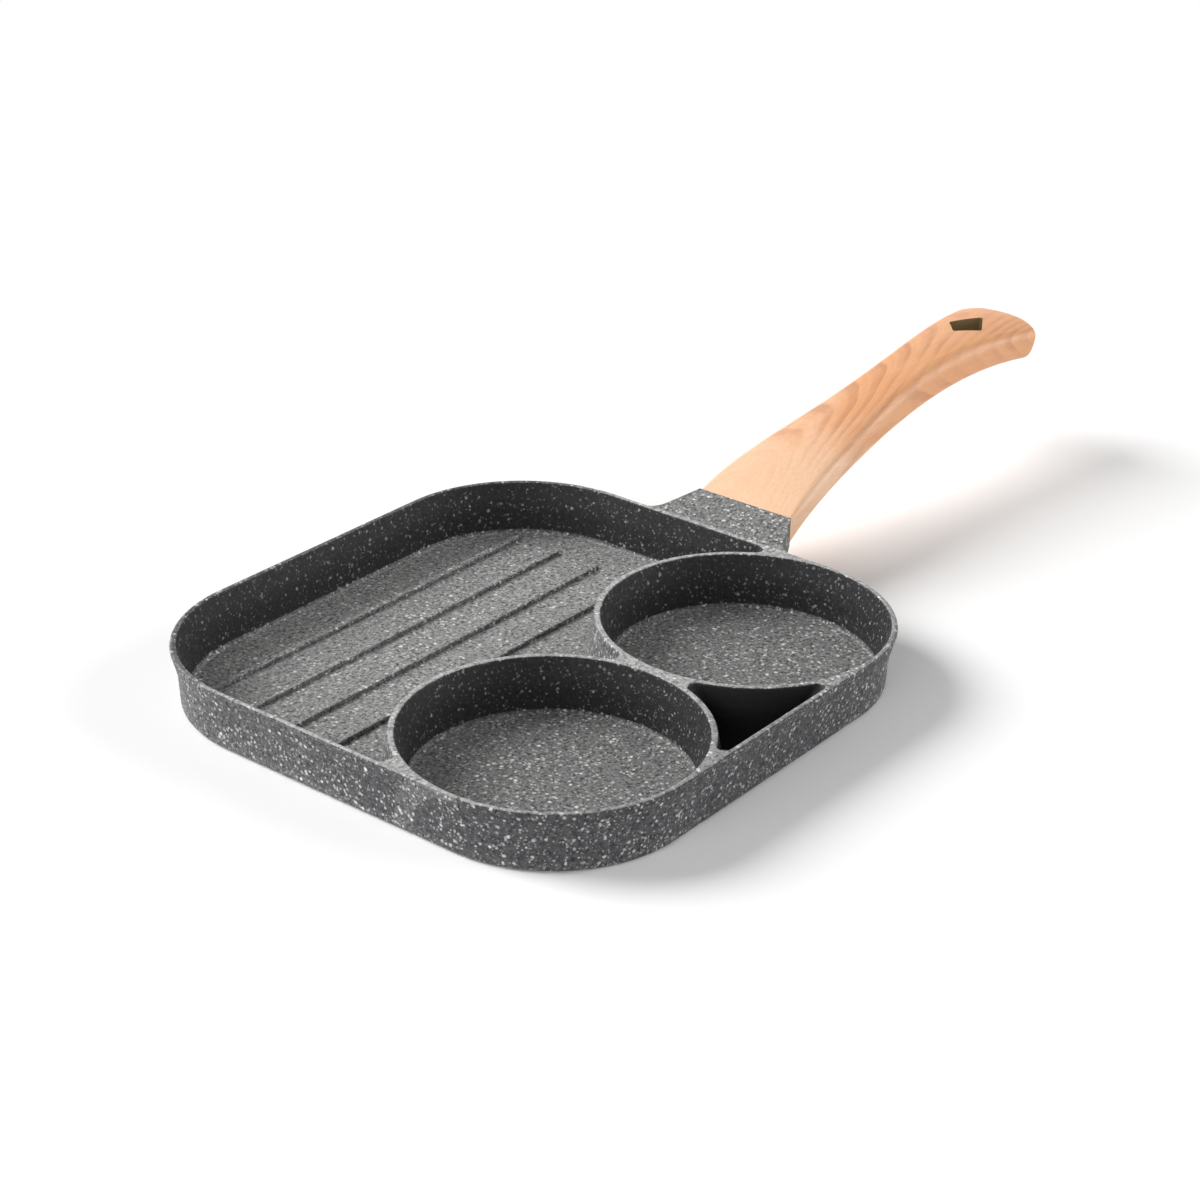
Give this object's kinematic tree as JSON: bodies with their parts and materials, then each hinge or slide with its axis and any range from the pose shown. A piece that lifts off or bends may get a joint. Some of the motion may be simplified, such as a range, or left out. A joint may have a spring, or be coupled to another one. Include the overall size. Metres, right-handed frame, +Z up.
{
  "type": "divided frying pan",
  "caption": "Cast frying pan with a ridged griddle section and round cups divided by walls, and a moulded wood-look handle with a hanging hole.",
  "frame": {"origin": "middle of the flat underside, on the surface the pan stands on", "axes": "+X along the handle, +Y towards the ridged section, +Z up"},
  "size_m": [0.3825, 0.1894, 0.051],
  "materials": {
    "stone_coating": "cast aluminium under a matte dark grey stone-look coating with light speckles",
    "wood_look": "satin moulded plastic with a printed light wood grain",
    "screw_steel": "plated steel"
  },
  "bodies": {
    "root": {"pan_body": "stone_coating", "handle": "wood_look", "handle_screw": "screw_steel"}
  },
  "joints": []
}
